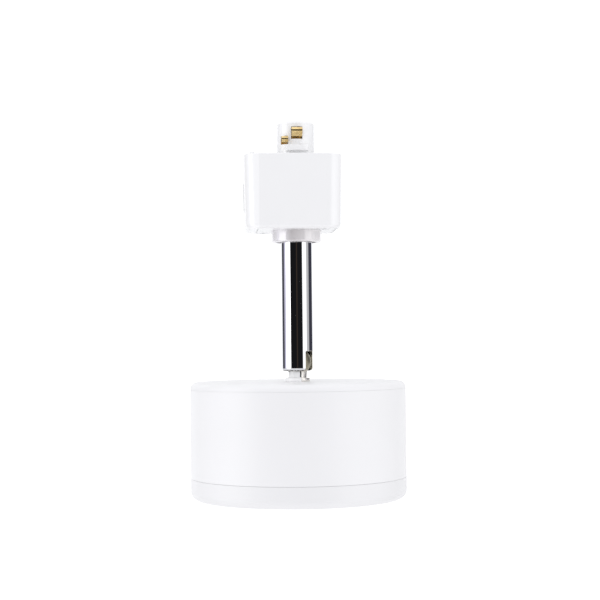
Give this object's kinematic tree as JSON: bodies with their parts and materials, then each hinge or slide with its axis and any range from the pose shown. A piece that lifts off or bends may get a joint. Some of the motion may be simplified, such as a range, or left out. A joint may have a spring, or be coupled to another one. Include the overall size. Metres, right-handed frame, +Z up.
{
  "type": "track spotlight",
  "caption": "White drum-shaped spotlight that hangs from a lighting rail on a chrome tube; it swivels under its twist-in adapter and tilts on a ball joint.",
  "frame": {"origin": "where the swivel axis, which is also the plug's axis, meets the adapter's seating face and the underside of the rail", "axes": "+Z up into the rail along the swivel axis, X along the rail, -Y the front"},
  "size_m": [0.088, 0.088, 0.1537],
  "materials": {
    "adapter_plastic": "satin moulded white plastic",
    "collar_plastic": "glossy moulded white plastic",
    "nylon": "natural nylon",
    "holder_plastic": "matte white heat-resistant plastic",
    "contact_brass": "bright stamped brass",
    "chrome_plate": "polished chrome plate",
    "nickel_plate": "dull nickel plate",
    "zinc_steel": "bright zinc plate",
    "dark_steel": "plain spring steel",
    "white_coat": "white powder coat, satin, on aluminium",
    "lamp_white": "satin white lamp housing",
    "opal": "opal light-spreading plastic",
    "board_green": "solder-masked circuit board",
    "board_white": "white solder mask on metal-core board",
    "chip_yellow": "phosphor gel",
    "component_black": "moulded electronic parts",
    "wire_brown": "silicone wire sleeve",
    "wire_blue": "silicone wire sleeve",
    "wire_earth": "green and yellow silicone wire sleeve",
    "wire_white": "heat-resistant wire sleeve"
  },
  "bodies": {
    "adapter": {"adapter_housing": "adapter_plastic", "adapter_cover": "adapter_plastic", "cover_screws": "zinc_steel", "contact_tower": "adapter_plastic", "tower_screws": "zinc_steel", "live_contact": "contact_brass", "neutral_contact": "contact_brass", "earth_contact": "contact_brass", "live_wire_adapter": "wire_brown", "neutral_wire_adapter": "wire_blue", "earth_wire_adapter": "wire_earth", "swivel_collar": "collar_plastic", "swivel_bush": "nylon", "latch_spring": "dark_steel"},
    "latch": {"release_latch": "adapter_plastic"},
    "stem": {"stem_tube": "chrome_plate", "swivel_nipple": "zinc_steel", "thrust_washer": "zinc_steel", "wave_washer": "dark_steel", "stop_washer": "zinc_steel", "nipple_nut": "zinc_steel", "ball_spring": "dark_steel", "ball_cup": "nylon", "stem_wires": "wire_white"},
    "head": {"ball_stud": "nickel_plate", "top_cap": "white_coat", "head_shell": "white_coat", "cap_screws": "zinc_steel", "holder_bracket": "zinc_steel", "stud_washer": "zinc_steel", "stud_nut": "zinc_steel", "lamp_holder": "holder_plastic", "holder_contacts": "contact_brass", "holder_screws": "zinc_steel", "earth_tag": "zinc_steel", "earth_screw": "zinc_steel", "live_wire_head": "wire_brown", "neutral_wire_head": "wire_blue", "earth_wire_head": "wire_earth", "trim_ring": "white_coat", "trim_clips": "dark_steel"},
    "lamp": {"lamp_base": "lamp_white", "lamp_pins": "contact_brass", "driver_board": "board_green", "driver_parts": "component_black", "led_board": "board_white", "led_chips": "chip_yellow", "lamp_diffuser": "opal"}
  },
  "joints": [
    {"name": "latch_pull", "type": "slide", "parent": "adapter", "child": "latch", "axis": [0, 0, -1], "range_m": [0, 0.003], "stiffness_N_per_m": 400, "springref_m": -0.002, "deforming": ["latch_spring"]},
    {"name": "swivel", "type": "hinge", "parent": "adapter", "child": "stem", "pos_m": [0, 0, -0.03], "axis": [0, 0, 1], "range_deg": [-170, 170]},
    {"name": "tilt", "type": "hinge", "parent": "stem", "child": "head", "pos_m": [0, 0, -0.0835], "axis": [-0.4067, -0.9135, 0], "range_deg": [0, 90]},
    {"name": "lamp_turn", "type": "hinge", "parent": "head", "child": "lamp", "pos_m": [0, 0, -0.121], "axis": [0, 0, 1], "range_deg": [-20, 0]}
  ]
}
